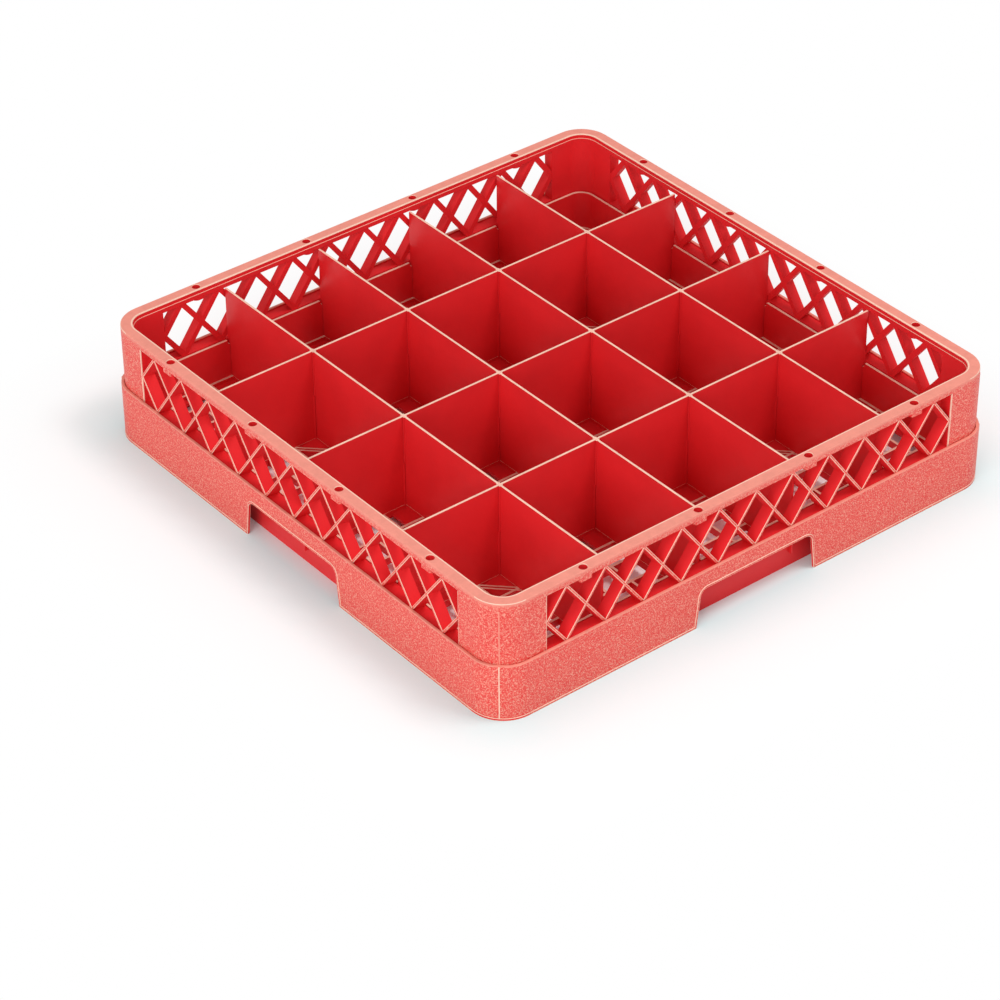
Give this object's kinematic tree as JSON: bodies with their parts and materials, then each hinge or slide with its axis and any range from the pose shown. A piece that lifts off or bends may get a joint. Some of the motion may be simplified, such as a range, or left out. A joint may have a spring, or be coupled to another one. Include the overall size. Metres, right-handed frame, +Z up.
{
  "type": "dishwasher cup rack",
  "caption": "Square plastic crate for cups: a tray with a grid floor, hand-holds and a diamond lattice wall, divided into deep compartments by interlocking dividers.",
  "frame": {"origin": "centre of the footprint, on the surface the rack stands on", "axes": "+Z up; X runs across the five rows of compartments that lie side by side, Y across the four"},
  "size_m": [0.5, 0.5, 0.1034],
  "materials": {
    "textured_plastic": "red polypropylene with a fine leather grain",
    "smooth_plastic": "smooth red polypropylene, satin gloss"
  },
  "bodies": {
    "root": {"cross_divider_1": "smooth_plastic", "cross_divider_2": "smooth_plastic", "cross_divider_3": "smooth_plastic", "frame_corners": "textured_plastic", "frame_rim": "textured_plastic", "lattice_back": "textured_plastic", "lattice_front": "textured_plastic", "lattice_left": "textured_plastic", "lattice_right": "textured_plastic", "long_divider_1": "smooth_plastic", "long_divider_2": "smooth_plastic", "long_divider_3": "smooth_plastic", "long_divider_4": "smooth_plastic", "tray_flange": "smooth_plastic", "tray_floor": "smooth_plastic", "tray_ribs": "smooth_plastic", "tray_skirt": "textured_plastic", "tray_wall": "smooth_plastic", "tray_wall_corners": "smooth_plastic"}
  },
  "joints": []
}
